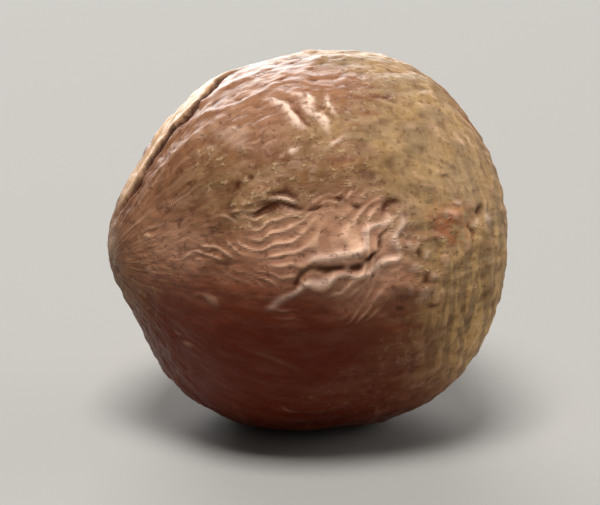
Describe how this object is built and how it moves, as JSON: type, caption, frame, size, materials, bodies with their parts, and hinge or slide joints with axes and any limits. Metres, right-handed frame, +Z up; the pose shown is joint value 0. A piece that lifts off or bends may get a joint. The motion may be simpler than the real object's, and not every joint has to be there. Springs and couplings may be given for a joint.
{
  "type": "hazelnut kernel",
  "caption": "Shelled hazelnut in its wrinkled brown skin, lying on its side, with a pointed tip, a blunt base with a shallow scar, and a small flat spot below.",
  "frame": {"origin": "on the resting surface, below the middle of the kernel's box", "axes": "-X towards the pointed tip, +X towards the blunt base, +Z up"},
  "size_m": [0.0156, 0.0148, 0.0149],
  "materials": {
    "skin": "dry papery brown skin with a soft sheen, wrinkled, with thin matte tan cork left on it in patches"
  },
  "bodies": {
    "root": {"kernel": "skin"}
  },
  "joints": []
}
